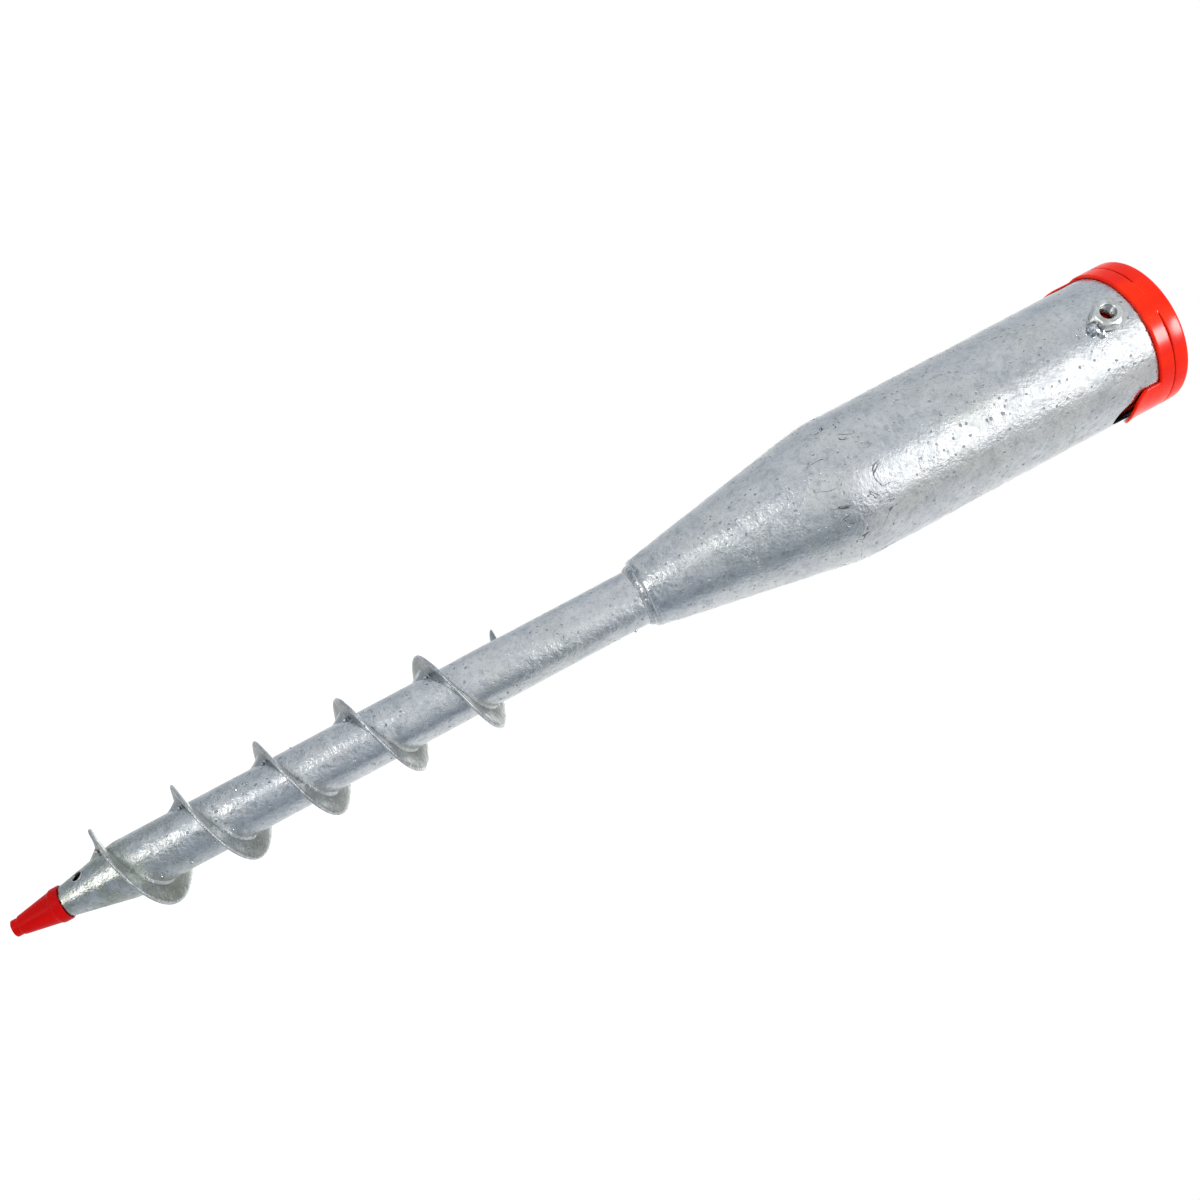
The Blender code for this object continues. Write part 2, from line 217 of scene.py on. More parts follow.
def rounded(corners):
    """Points (r, z) along corners (r, z, reach, steps), each corner rounded over its reach."""
    points = []
    for i, (r, z, reach, steps) in enumerate(corners):
        here = Vector((r, z))
        if reach == 0:
            points.append(here)
            continue
        start = here + (Vector(corners[i - 1][:2]) - here).normalized() * reach
        end = here + (Vector(corners[(i + 1) % len(corners)][:2]) - here).normalized() * reach
        for k in range(steps + 1):
            t = k / steps
            points.append(start * (1 - t) ** 2 + here * 2 * t * (1 - t) + end * t ** 2)
    return points


def filled(points, step):
    """The same open line of points, with no stretch longer than step."""
    line = []
    for a, b in zip(points, points[1:]):
        parts = max(1, math.ceil((b - a).length / step))
        line += [a.lerp(b, k / parts) for k in range(parts)]
    return line + [points[-1]]


def lathe(line, columns, relief=None):
    """Turn a closed line of (r, z) about Z; relief(point) is added to the radius."""
    loops = []
    for j in range(columns):
        angle = TAU * j / columns
        loop = []
        for r, z in line:
            raised = relief(polar(r, angle, z)) if relief and r > MM else 0.0
            loop.append(polar(r + raised, angle, z))
        loops.append(loop)
    return skin(loops)


def apply_modifiers(obj):
    graph = bpy.context.evaluated_depsgraph_get()
    mesh = bpy.data.meshes.new_from_object(obj.evaluated_get(graph), depsgraph=graph)
    obj.modifiers.clear()
    obj.data = mesh


def drill(obj, radius, length, centre, direction):
    """Cut a round hole of this length through a piece."""
    bm = bmesh.new()
    bmesh.ops.create_cone(bm, cap_ends=True, segments=64, radius1=radius, radius2=radius,
                          depth=length)
    turn = Vector((0, 0, 1)).rotation_difference(Vector(direction)).to_matrix().to_4x4()
    bmesh.ops.transform(bm, matrix=Matrix.Translation(centre) @ turn, verts=bm.verts)
    cutter = add_mesh("drill", bm)
    mod = obj.modifiers.new("hole", "BOOLEAN")
    mod.operation = "DIFFERENCE"
    mod.solver = "EXACT"
    mod.object = cutter
    apply_modifiers(obj)
    bpy.data.objects.remove(cutter, do_unlink=True)


def line_bore(obj, mat, centre=(0, 0, 0), axis=(0, 0, 1), reach=1.0):
    """Give a second material to the faces within reach of an axis that look towards it."""
    if mat.name not in obj.data.materials:
        obj.data.materials.append(mat)
    axis = Vector(axis)
    for face in obj.data.polygons:
        out = face.center - Vector(centre)
        out -= axis * out.dot(axis)
        if out.length < reach and face.normal.dot(out.normalized()) < -0.2:
            face.material_index = 1


# ---- material helpers
class Nodes:
    """Builds a shader tree; every method returns the socket that holds its result."""

    def __init__(self, tree):
        self.tree = tree

    def node(self, kind, inputs=(), output=0, **settings):
        node = self.tree.nodes.new(kind)
        for name, value in settings.items():
            setattr(node, name, value)
        for name, value in dict(inputs).items():
            self.join(node.inputs[name], value)
        return node.outputs[output]

    def join(self, target, value):
        if isinstance(value, bpy.types.NodeSocket):
            self.tree.links.new(value, target)
        elif target.type == "RGBA" and len(value) == 3:
            target.default_value = (*value, 1.0)
        else:
            target.default_value = value

    def math(self, operation, a, b=0.0):
        return self.node("ShaderNodeMath", {0: a, 1: b}, operation=operation)

    def times(self, a, b):
        return self.math("MULTIPLY", a, b)

    def span(self, value, low, high, to_low=0.0, to_high=1.0, kind="SMOOTHSTEP"):
        """Carry value from low..high to to_low..to_high."""
        inputs = {"Value": value, "From Min": low, "From Max": high,
                  "To Min": to_low, "To Max": to_high}
        return self.node("ShaderNodeMapRange", inputs, interpolation_type=kind)

    def band(self, value, low, full_low, full_high, high):
        """1 from full_low to full_high, falling smoothly to 0 at low and at high."""
        return self.times(self.span(value, low, full_low), self.span(value, high, full_high))

    def mix(self, factor, a, b):
        node = self.tree.nodes.new("ShaderNodeMix")
        node.data_type = "RGBA"
        self.join(node.inputs[0], factor)
        self.join(node.inputs[6], a)
        self.join(node.inputs[7], b)
        return node.outputs[2]

    def noise(self, where, size, detail=2.0, rough=0.5, bend=0.0):
        inputs = {"Vector": where, "Scale": 1 / size, "Detail": detail, "Roughness": rough,
                  "Distortion": bend}
        return self.node("ShaderNodeTexNoise", inputs)

    def cells(self, where, size, output=0):
        return self.node("ShaderNodeTexVoronoi", {"Vector": where, "Scale": 1 / size}, output)

    def bump(self, height, strength, distance, normal=None):
        inputs = {"Height": height, "Strength": strength, "Distance": distance}
        if normal:
            inputs["Normal"] = normal
        return self.node("ShaderNodeBump", inputs)

    def painted_crevice_shade(self, colour, reach, shade_colour):
        """Painted shade: darken a colour where the surface is hemmed in by its neighbours, as shade
        would.
        """
        inputs = {"Distance": reach}
        opening = self.node("ShaderNodeAmbientOcclusion", inputs, 1, samples=4)
        return self.mix(self.span(opening, 0.72, 0.30, 0.0, 0.8), colour, shade_colour)

    def stretched(self, where, scale, turn=(0, 0, 0)):
        """Coordinates that draw a pattern out by scale, along axes turned by turn."""
        return self.node("ShaderNodeMapping", {"Vector": where, "Scale": scale, "Rotation": turn},
                         vector_type="TEXTURE")


def new_material(name):
    """A material with its node builder, its shader node and its place coordinates."""
    mat = bpy.data.materials.new(name)
    mat.use_nodes = True
    nodes = Nodes(mat.node_tree)
    shader = mat.node_tree.nodes["Principled BSDF"]
    where = nodes.node("ShaderNodeTexCoord", output=3)
    return mat, nodes, shader, where


def dress(n, shader, base, gloss, normal, metallic=1.0):
    """Give the shader its colour, roughness and relief."""
    n.join(shader.inputs["Base Color"], base)
    n.join(shader.inputs["Roughness"], gloss)
    n.join(shader.inputs["Normal"], normal)
    shader.inputs["Metallic"].default_value = metallic


# ---- materials
# heights of the zinc's marks: where they begin, are full from and to, and end
DROSS_HEIGHTS = (500 * MM, 514 * MM, 534 * MM, 550 * MM)
SCUFF_HEIGHTS = (515 * MM, 540 * MM, 560 * MM, 640 * MM)
HEATED_HEIGHTS = (386 * MM, 392 * MM, 400 * MM, 412 * MM)
STAIN_TOP_Z = 150 * MM
STAIN_FULL_Z = 40 * MM


def pit_mask(n, where, swirl):
    """Pits a millimetre wide, and finer specks in groups."""
    pits = n.span(n.cells(swirl, 5 * MM), 0.20, 0.10)
    pits = n.times(pits, n.span(n.noise(where, 24 * MM, 2.0), 0.36, 0.48))
    specks = n.span(n.cells(swirl, 1.4 * MM), 0.20, 0.10)
    specks = n.times(specks, n.span(n.noise(where, 17 * MM, 3.0), 0.48, 0.60))
    return n.math("MAXIMUM", pits, n.times(specks, 0.6))


def dross_mask(n, where, height):
    """Lines of dross that wander round the shoulder."""
    wander = n.noise(where, 26 * MM, 3.0, 0.55, 1.4)
    line = n.span(n.math("ABSOLUTE", n.math("SUBTRACT", wander, 0.5)), 0.013, 0.006)
    line = n.times(line, n.band(height, *DROSS_HEIGHTS))
    return n.times(line, n.span(n.noise(where, 14 * MM, 3.0), 0.50, 0.55))


def scuff_mask(n, where, height):
    """Pale scuffs round the tube above the shoulder."""
    scuffs = n.noise(n.stretched(where, (11.0, 11.0, 1.0), (0.10, 0.22, 0.0)), 1.3 * MM, 3.0, 0.65)
    scuffs = n.times(n.span(scuffs, 0.57, 0.66), n.band(height, *SCUFF_HEIGHTS))
    return n.times(scuffs, n.span(n.noise(where, 20 * MM, 2.0), 0.42, 0.60))


def stain_mask(n, where, height):
    """Stains that gather towards the driving point."""
    stains = n.span(n.noise(where, 10 * MM, 4.0, 0.6), 0.38, 0.62)
    return n.times(n.span(height, STAIN_TOP_Z, STAIN_FULL_Z), stains)


def zinc_coat(name, light, dark, roughness, grit, stain):
    """Hot-dip zinc: spangle, dull and bright patches, grainy skin, pits, dross and stains."""
    mat, n, shader, where = new_material(name)
    height = n.node("ShaderNodeSeparateXYZ", {0: where}, 2)
    drift = n.node("ShaderNodeTexNoise", {"Vector": where, "Scale": 160.0}, 1)
    drift = n.node("ShaderNodeVectorMath", {0: drift, 1: (0.004,) * 3}, operation="MULTIPLY")
    swirl = n.node("ShaderNodeVectorMath", {0: where, 1: drift}, operation="ADD")
    spangle = n.node("ShaderNodeSeparateColor", {0: n.cells(swirl, 5 * MM, output=1)})
    clouds = n.noise(where, 45 * MM, 2.0)
    patches = n.noise(where, 13 * MM, 4.0, 0.62, 0.5)
    lumps = n.noise(where, 6 * MM, 3.0, 0.55, 0.3)
    fine = n.noise(where, 1.9 * MM, 2.5, 0.6)
    dust = n.noise(swirl, 2.4 * MM, 4.0, 0.72)
    streaks = n.noise(n.stretched(where, (1.0, 1.0, 7.0), (0.0, 0.45, 0.0)), 2.6 * MM, 3.0, 0.6)

    pits = pit_mask(n, where, swirl)
    dross = dross_mask(n, where, height)
    scuffs = scuff_mask(n, where, height)
    stains = stain_mask(n, where, height)

    # colour: pale and dull patches, a cool or greenish cast, single crystals, then the marks
    base = n.mix(n.span(patches, 0.34, 0.66), dark, light)
    base = n.mix(n.span(clouds, 0.46, 0.66, 0.0, 0.30), base, (0.62, 0.67, 0.72))
    base = n.mix(n.span(clouds, 0.50, 0.34, 0.0, 0.30), base, (0.68, 0.71, 0.63))
    base = n.mix(n.times(spangle, 0.30), base, (0.81, 0.83, 0.84))
    base = n.mix(n.span(lumps, 0.48, 0.32, 0.0, 0.45), base, (0.44, 0.48, 0.52))
    base = n.mix(n.span(dust, 0.49, 0.33, 0.0, 0.6), base, n.mix(0.5, base, (0.20, 0.23, 0.25)))
    base = n.mix(n.span(dust, 0.52, 0.68, 0.0, 0.5), base, n.mix(0.4, base, (1.0, 1.0, 1.0)))
    base = n.mix(n.times(pits, 0.5), base, (0.22, 0.23, 0.23))
    base = n.mix(n.times(dross, 0.9), base, (0.09, 0.09, 0.09))
    base = n.mix(n.times(scuffs, 0.6), base, (0.90, 0.91, 0.92))
    base = n.mix(n.times(stains, stain), base, (0.36, 0.40, 0.29))
    # painted shade: the zinc's colour darkens in corners and creases, where shade falls
    base = n.painted_crevice_shade(base, 3.5 * MM, (0.10, 0.11, 0.11))

    # gloss: dull where it is streaked, pitted or scuffed, smoother beside the socket's weld
    gloss = n.span(patches, 0.3, 0.7, roughness + 0.07, roughness - 0.05)
    gloss = n.math("ADD", gloss, n.span(streaks, 0.52, 0.70, 0.0, 0.12))
    gloss = n.math("ADD", gloss, n.times(n.math("MAXIMUM", pits, dross), 0.3))
    gloss = n.math("ADD", gloss, n.times(scuffs, 0.15))
    heated = n.band(height, *HEATED_HEIGHTS)
    gloss = n.math("SUBTRACT", gloss, n.times(heated, 0.08))

    # relief, from the widest swells to the pits
    grainy = n.span(n.noise(where, 38 * MM, 1.0), 0.40, 0.60, 0.35, 1.0)
    normal = n.bump(clouds, 1.0, 0.6 * MM)
    normal = n.bump(patches, 1.0, 0.28 * MM, normal)
    normal = n.bump(n.times(lumps, grainy), 1.0, grit * 0.42 * MM, normal)
    normal = n.bump(n.times(fine, grainy), 1.0, grit * 0.31 * MM, normal)
    normal = n.bump(streaks, 1.0, 0.11 * MM, normal)
    normal = n.bump(n.times(fine, stains), 1.0, grit * 0.28 * MM, normal)
    dips = n.math("SUBTRACT", 0.0, n.math("ADD", pits, dross))
    normal = n.bump(dips, 1.0, 0.30 * MM, normal)
    dress(n, shader, base, gloss, normal)
    return mat


def inner_zinc(name, light, dark, roughness):
    """Runny zinc on the inside of tubes and threads, in the given colours; the near black used inside
    the tubes and holes is painted shade.
    """
    mat, n, shader, where = new_material(name)
    runs = n.noise(n.stretched(where, (1.0, 1.0, 5.0)), 5 * MM, 3.0, 0.6)
    fine = n.noise(where, 1.5 * MM, 2.0)
    base = n.mix(n.span(runs, 0.35, 0.65), dark, light)
    gloss = n.span(runs, 0.3, 0.7, roughness + 0.05, roughness - 0.1)
    dress(n, shader, base, gloss, n.bump(fine, 0.6, 0.10 * MM, n.bump(runs, 0.6, 0.3 * MM)))
    return mat


def nut_plating():
    """Zinc-plated steel of the nuts, smoother and a little yellower than the dipped steel."""
    mat, n, shader, where = new_material("nut_plating")
    patches = n.noise(where, 4 * MM, 3.0, 0.6)
    fine = n.noise(where, 0.7 * MM, 2.0)
    base = n.mix(n.span(patches, 0.35, 0.65), (0.58, 0.59, 0.55), (0.88, 0.90, 0.87))
    # painted shade: the plating's colour darkens in corners and creases, where shade falls
    base = n.painted_crevice_shade(base, 2.5 * MM, (0.10, 0.10, 0.09))
    gloss = n.span(patches, 0.3, 0.7, 0.26, 0.13)
    dress(n, shader, base, gloss, n.bump(fine, 0.6, 0.06 * MM, n.bump(patches, 0.8, 0.25 * MM)))
    return mat


def moulded_plastic(name, colour, deep, roughness, peel, gleam):
    """Moulded polyethylene: faint flow marks, soft orange peel, scuffs and slight sheen."""
    mat, n, shader, where = new_material(name)
    flow = n.noise(n.stretched(where, (1.0, 1.0, 2.6)), 22 * MM, 2.0, 0.5, 0.6)
    peel_noise = n.noise(where, 1.3 * MM, 2.0)
    scuff = n.noise(n.stretched(where, (1.0, 1.0, 7.0), (0.4, 0.2, 0.0)), 3.5 * MM, 4.0, 0.7)
    base = n.mix(n.span(flow, 0.3, 0.7), deep, colour)
    # painted shade: the red darkens in the seam and other creases, where shade falls
    base = n.painted_crevice_shade(base, 1.4 * MM, (0.16, 0.0, 0.0))
    gloss = n.math("ADD", n.span(flow, 0.3, 0.7, roughness + 0.03, roughness - 0.02),
                   n.span(scuff, 0.56, 0.72, 0.0, 0.14))
    normal = n.bump(peel_noise, peel, 0.03 * MM, n.bump(flow, 0.5, 0.12 * MM))
    dress(n, shader, base, gloss, normal, 0.0)
    shader.inputs["Specular IOR Level"].default_value = gleam
    shader.inputs["Subsurface Weight"].default_value = 0.08
    shader.inputs["Subsurface Radius"].default_value = (1.2 * MM, 0.3 * MM, 0.2 * MM)
    shader.inputs["Subsurface Scale"].default_value = 1.0
    return mat


def floor_paint():
    """The studio's white floor."""
    mat, n, shader, where = new_material("floor_paint")
    n.join(shader.inputs["Base Color"], n.mix(n.noise(where, 0.4), (0.86, 0.86, 0.86),
                                              (0.87, 0.87, 0.87)))
    shader.inputs["Roughness"].default_value = 0.9
    shader.inputs["Specular IOR Level"].default_value = 0.0
    return mat


GALVANISED = zinc_coat("galvanised", (0.78, 0.79, 0.795), (0.65, 0.665, 0.68), 0.23, 1.0, 0.6)
BLADE_ZINC = zinc_coat("blade_zinc", (0.46, 0.505, 0.49), (0.36, 0.395, 0.385), 0.27, 0.3, 0.6)
FILLET_ZINC = zinc_coat("fillet_zinc", (0.66, 0.68, 0.68), (0.50, 0.52, 0.52), 0.24, 0.9, 0.4)
WELD_ZINC = zinc_coat("weld_zinc", (0.74, 0.75, 0.76), (0.46, 0.47, 0.48), 0.19, 1.8, 0.2)
# the insides of the tubes and the walls of the holes: painted shade, near black
BORE_PAINTED_SHADE = inner_zinc("bore_painted_shade", (0.12, 0.12, 0.12), (0.05, 0.05, 0.05), 0.6)
NUT_ZINC = nut_plating()
THREAD_STEEL = inner_zinc("thread_steel", (0.70, 0.70, 0.68), (0.32, 0.32, 0.31), 0.25)
CAP_RED = moulded_plastic("cap_red", (0.86, 0.024, 0.0), (0.70, 0.009, 0.0), 0.20, 0.35, 0.16)
GUARD_RED = moulded_plastic("guard_red", (0.49, 0.0, 0.0), (0.38, 0.0, 0.0), 0.24, 0.5, 0.09)


# ---- steel
def point_radius(z):
    """Radius of the stem, whose lower end closes down to the driving point."""
    return STEM_RADIUS - POINT_SLOPE * max(0.0, POINT_BASE_Z - z)


def tube_relief(point):
    """Slight unevenness of the steel, which fades out under the cap."""
    uneven = 0.07 * grain(point, 16 * MM) + 0.025 * grain(point, 5 * MM, 3.0)
    return uneven * MM * smooth(CAP_FOOT_Z, CAP_FOOT_Z - 12 * MM, point.z)


def socket_shell():
    """The post tube with its shoulder and cone, and its four drilled holes."""
    outer = rounded([(TUBE_RADIUS - TUBE_WALL, RIM_Z, 0, 0),
                     (TUBE_RADIUS, RIM_Z, 0.7 * MM, 3),
                     (TUBE_RADIUS, CONE_TOP_Z, SHOULDER_REACH, 12),
                     (CONE_FOOT_RADIUS, CONE_FOOT_Z, CONE_FOOT_ROUND, 6),
                     (CONE_FOOT_RADIUS - TUBE_WALL, CONE_FOOT_Z, 0, 0)])
    inner = rounded([(CONE_FOOT_RADIUS - TUBE_WALL, CONE_FOOT_Z, 0, 0),
                     (TUBE_RADIUS - TUBE_WALL, CONE_TOP_Z, SHOULDER_REACH, 6),
                     (TUBE_RADIUS - TUBE_WALL, RIM_Z, 0, 0)])
    line = filled(outer, 1.6 * MM)[:-1] + filled(inner, 8 * MM)[:-1]
    tube = add_mesh("socket_shell", lathe(line, 240, tube_relief), GALVANISED, 40)
    drill(tube, SCREW_HOLE_RADIUS, 3 * TUBE_RADIUS, (0, 0, NUT_Z), (0, 1, 0))
    drill(tube, BAR_HOLE_RADIUS, 3 * TUBE_RADIUS, (0, 0, BAR_HOLE_Z), (1, 0, 0))
    # painted shade: the tube's inside and the walls of its holes take the near-black zinc
    line_bore(tube, BORE_PAINTED_SHADE)
    line_bore(tube, BORE_PAINTED_SHADE, (0, 0, BAR_HOLE_Z), (1, 0, 0), BAR_HOLE_RADIUS + 0.1 * MM)
    return place(tube, "root", "galvanised_steel", "socket_tube")


def stem_shell():
    """The stem, open at the top, drawn down to the driving point, with its vent hole."""
    bore = STEM_RADIUS - STEM_WALL
    hollow_foot = POINT_BASE_Z - (bore - MM) / POINT_SLOPE
    outer = rounded([(0, STEM_LOW.z, 0, 0),
                     (point_radius(STEM_LOW.z), STEM_LOW.z, 0.8 * MM, 3),
                     (STEM_RADIUS, POINT_BASE_Z, 3 * MM, 5),
                     (STEM_RADIUS, STEM_HIGH.z, 0.6 * MM, 2),
                     (bore, STEM_HIGH.z, 0, 0)])
    inner = rounded([(bore, STEM_HIGH.z, 0, 0),
                     (bore, POINT_BASE_Z, 2 * MM, 3),
                     (MM, hollow_foot, 0, 0),
                     (0, hollow_foot, 0, 0)])
    line = filled(outer, 1.4 * MM)[:-1] + filled(inner, 9 * MM)
    stem = add_mesh("stem_shell", lathe(line, 128, tube_relief), GALVANISED, 40)
    reach = 30 * MM
    drill(stem, VENT_RADIUS, reach, polar(reach / 2 + 2 * MM, VENT_ANGLE, VENT_Z),
          polar(1, VENT_ANGLE, 0))
    # painted shade: the stem's inside and the vent's wall take the near-black zinc
    line_bore(stem, BORE_PAINTED_SHADE)
    return place(stem, "root", "galvanised_steel", "stem_tube")


def vent_bead():
    """Zinc that ran round one side of the vent hole and set there."""
    out = polar(1, VENT_ANGLE, 0)
    side = polar(1, VENT_ANGLE + math.pi / 2, 0)
    slope = Vector((POINT_SLOPE * out.x, POINT_SLOPE * out.y, 1)).normalized()
    centre = out * point_radius(VENT_Z) + Vector((0, 0, VENT_Z))
    loops = []
    steps = 48
    for i in range(steps + 1):
        t = i / steps
        turn = math.radians(lerp(60, -120, t))
        ring = side * math.cos(turn) - slope * math.sin(turn)
        spot = centre + ring * (VENT_RADIUS + 0.45 * MM)
        # the cone falls away from the hole's middle sideways
        spot -= out * ((spot - centre).dot(side) ** 2) / (2 * point_radius(VENT_Z))
        thick = (0.15 + 0.50 * math.sin(math.pi * t) ** 0.6) * MM
        thick *= 1 + 0.25 * grain(spot, 1.5 * MM)
        loop = []
        for k in range(10):
            a = TAU * k / 10
            loop.append(spot + ring * thick * math.cos(a) + out * thick * 0.8 * math.sin(a))
        loops.append(loop)
    bead = add_mesh("vent_bead", skin(loops, closed=False), WELD_ZINC)
    return place(bead, "root", "galvanised_steel")


def helix_z(angle):
    """Height of the middle of the blade at this angle of the helix."""
    lead = max(0.0, BLADE_LEAD_END - angle) / (BLADE_LEAD_END - BLADE_START)
    return BLADE_PHASE_Z + BLADE_LEAD * lead + BLADE_PITCH * (angle - BLADE_PHASE) / TAU


def blade_outer(angle):
    """Outer radius of the blade, which rises out of the point over its first stretch."""
    if angle >= BLADE_FULL:
        return BLADE_RADIUS
    t = (angle - BLADE_START) / (BLADE_FULL - BLADE_START)
    start = point_radius(helix_z(angle)) + 2 * MM
    return lerp(start, BLADE_RADIUS, math.sin(t * math.pi / 2))


def blade_side(root, outer, half, edge):
    """Points (r, height above the blade's middle) from the root to the outer edge."""
    flat = outer - min(3 * MM, 0.5 * (outer - root))
    points = [(root, half + 0.8 * MM), (root + 0.35 * MM, half + 0.35 * MM),
              (root + 0.9 * MM, half + 0.08 * MM)]
    points += [(lerp(root + 0.9 * MM, flat, t), half) for t in (0.25, 0.5, 0.75, 1.0)]
    points += [(outer - 1.2 * edge, lerp(edge, half, 0.25)), (outer - 0.55 * edge, 0.85 * edge),
               (outer - 0.12 * edge, 0.45 * edge)]
    return points


def screw_blade():
    """The right-handed helix, thinner at its rounded outer edge and slightly wavy."""
    steps = round((BLADE_END - BLADE_START) / TAU * 100)
    loops = []
    for i in range(steps + 1):
        angle = lerp(BLADE_START, BLADE_END, i / steps)
        end = min(i, steps - i)
        full = min(1.0, 0.45 + 0.3 * end)
        z = helix_z(angle)
        root = point_radius(z) - 0.3 * MM
        outer = blade_outer(angle) - (0.6 * MM if end == 0 else 0.0)
        outer += 0.18 * MM * grain(polar(BLADE_RADIUS, angle, z), 22 * MM)
        upper = blade_side(root, outer, BLADE_HALF * full, BLADE_EDGE * full)
        loop = []
        for r, h in [(r, -h) for r, h in upper] + [(outer, 0.0)] + upper[::-1]:
            spot = polar(r, angle, z)
            wave = 0.22 * grain(spot, 26 * MM, 5.0) * (r - root) / (BLADE_RADIUS - root)
            wave += 0.05 * grain(spot, 4 * MM, 7.0)
            loop.append(polar(r, angle, z + h + wave * MM))
        loops.append(loop)
    blade = add_mesh("screw_blade", skin(loops, closed=False), BLADE_ZINC, 60)
    # the rim takes the paler, glossier weld zinc: a painted highlight along the edge
    blade.data.materials.append(WELD_ZINC)
    for face in blade.data.polygons:
        if face.center.xy.length > BLADE_RADIUS - 1.1 * BLADE_EDGE:
            face.material_index = 1
    return place(blade, "root", "galvanised_steel", "auger_blade")


def bead_section(out, along):
    """Points (out along the blade, along the stem) of a hollow weld fillet in their corner."""
    points = [(-0.3 * MM, -0.3 * MM), (out + 0.2 * MM, -0.3 * MM)]
    for k in range(13):
        a = math.radians(90 * k / 12)
        points.append((out * math.cos(a) ** 2.3, along * math.sin(a) ** 2.3))
    return points + [(-0.3 * MM, along + 0.2 * MM)]


def blade_bead(name, span, side, legs, fades, mat, node):
    """A stitch of weld where the blade meets the stem, tapered over its fades at both ends."""
    start, end = span
    length = (end - start) * STEM_RADIUS
    steps = round(length / (0.35 * MM))
    loops = []
    for i in range(steps + 1):
        t = i / steps
        angle = lerp(start, end, t)
        z = helix_z(angle) + side * (BLADE_HALF - 0.1 * MM)
        spot = polar(STEM_RADIUS, angle, z)
        size = 0.97 + 0.16 * grain(spot, 7 * MM) + 0.05 * grain(spot, 2 * MM, 6.0)
        size *= max(0.06, smooth(0, fades[0], t * length) * smooth(0, fades[1], (1 - t) * length)) ** 0.7
        section = bead_section(legs[0] * size, legs[1] * size)
        loops.append([polar(point_radius(z + side * y) + x, angle, z + side * y) for x, y in section])
    bead = add_mesh(name, skin(loops, closed=False), mat, 70)
    return place(bead, "root", "weld_zinc", node)


def blade_beads():
    """Hollow fillets under the blade at the left, slimmer ones on top of it at the right."""
    for turn in range(BLADE_TURNS):
        base = BLADE_PHASE + turn * TAU
        blade_bead(f"upper_bead_{turn + 1}", [base + a for a in UPPER_WELD], 1, UPPER_LEGS,
                   (6.0 * MM, 2.0 * MM), WELD_ZINC, f"blade_weld_upper_{turn + 1}")
        blade_bead(f"lower_bead_{turn + 1}", [base + a for a in LOWER_WELD], -1, LOWER_LEGS,
                   (8.0 * MM, 9.0 * MM), FILLET_ZINC, f"blade_weld_lower_{turn + 1}")


def ripple(along, pitch):
    """The steps of a weld bead: each one rises slowly and falls back fast."""
    t = (along / pitch) % 1.0
    return math.sin(math.pi * t ** 1.6)


def socket_bead():
    """The ring of weld under the cone's foot, rippled and a little uneven."""
    columns = 420
    circle = TAU * STEM_RADIUS
    pitch = circle / 46
    reach = CONE_FOOT_RADIUS - CONE_FOOT_ROUND - STEM_RADIUS
    loops = []
    for j in range(columns):
        angle = TAU * j / columns
        spot = polar(STEM_RADIUS, angle, CONE_FOOT_Z)
        uneven = 1 + 0.28 * grain(spot, 9 * MM, 2.0) + 0.14 * grain(spot, 3 * MM, 4.0)
        drop = 3.7 * MM * uneven
        lift = 0.05 * MM * ripple(angle * STEM_RADIUS, pitch) + 0.45 * MM * grain(spot, 2.4 * MM)
        wide = reach + (0.7 + 0.5 * grain(spot, 4 * MM, 8.0)) * MM
        loop = [polar(STEM_RADIUS - 0.3 * MM, angle, CONE_FOOT_Z + 0.6 * MM),
                polar(STEM_RADIUS - 0.3 * MM, angle, CONE_FOOT_Z - drop)]
        for k in range(10):
            t = k / 9
            out = lerp(0.05 * MM, wide, t) + (0.55 * MM + lift) * math.sin(math.pi * t)
            down = lerp(drop, 0.0, t) + 0.3 * lift * math.sin(math.pi * t)
            loop.append(polar(STEM_RADIUS + out, angle, CONE_FOOT_Z - down))
        loop.append(polar(STEM_RADIUS + wide, angle, CONE_FOOT_Z + 0.6 * MM))
        loops.append(loop)
    bead = add_mesh("socket_bead", skin(loops), WELD_ZINC, 70)
    return place(bead, "root", "weld_zinc", "socket_weld")


def zinc_drops():
    """Small drops of zinc that set on the stem, at the stitches' ends and at the cone's foot."""
    bm = bmesh.new()
    for k in range(STEM_DROPS):
        z = lerp(*STEM_DROP_HEIGHTS, scattered(k, 0.618))
        angle = 2.4 * k + 0.6 * math.sin(5.1 * k)
        size = (0.35 + 0.75 * scattered(k, 0.377) ** 2) * MM
        blob(bm, polar(STEM_RADIUS, angle, z), Vector((size, size, size)), 10.0 + k)
    for k in range(FOOT_DROPS):
        z = lerp(*FOOT_DROP_HEIGHTS, scattered(k, 0.618))
        size = (0.3 + 0.5 * scattered(k, 0.377)) * MM
        spot = polar(CONE_FOOT_RADIUS, 1.9 * k, z)
        blob(bm, spot, Vector((size, size, 0.7 * size)), 60.0 + k)
    for turn in range(BLADE_TURNS):
        # the crater drop where each lower stitch ended
        angle = BLADE_PHASE + turn * TAU + math.radians(22)
        size = (1.35 - 0.15 * (turn % 3)) * MM
        spot = polar(STEM_RADIUS + 0.5 * MM, angle, helix_z(angle) - 3.4 * MM)
        blob(bm, spot, Vector((size, size, 0.9 * size)), 80.0 + turn)
    drops = add_mesh("zinc_drops", bm, WELD_ZINC, 70)
    return place(drops, "root", "galvanised_steel")


def hexagon_radius(angle):
    """Radius of a hexagon with slightly rounded corners, flat on at angle 0."""
    power = 36
    total = 0.0
    for k in range(6):
        facing = math.cos(angle - math.radians(60 * k))
        total += (max(0.0, facing) / NUT_APOTHEM) ** power
    return total ** (-1 / power)


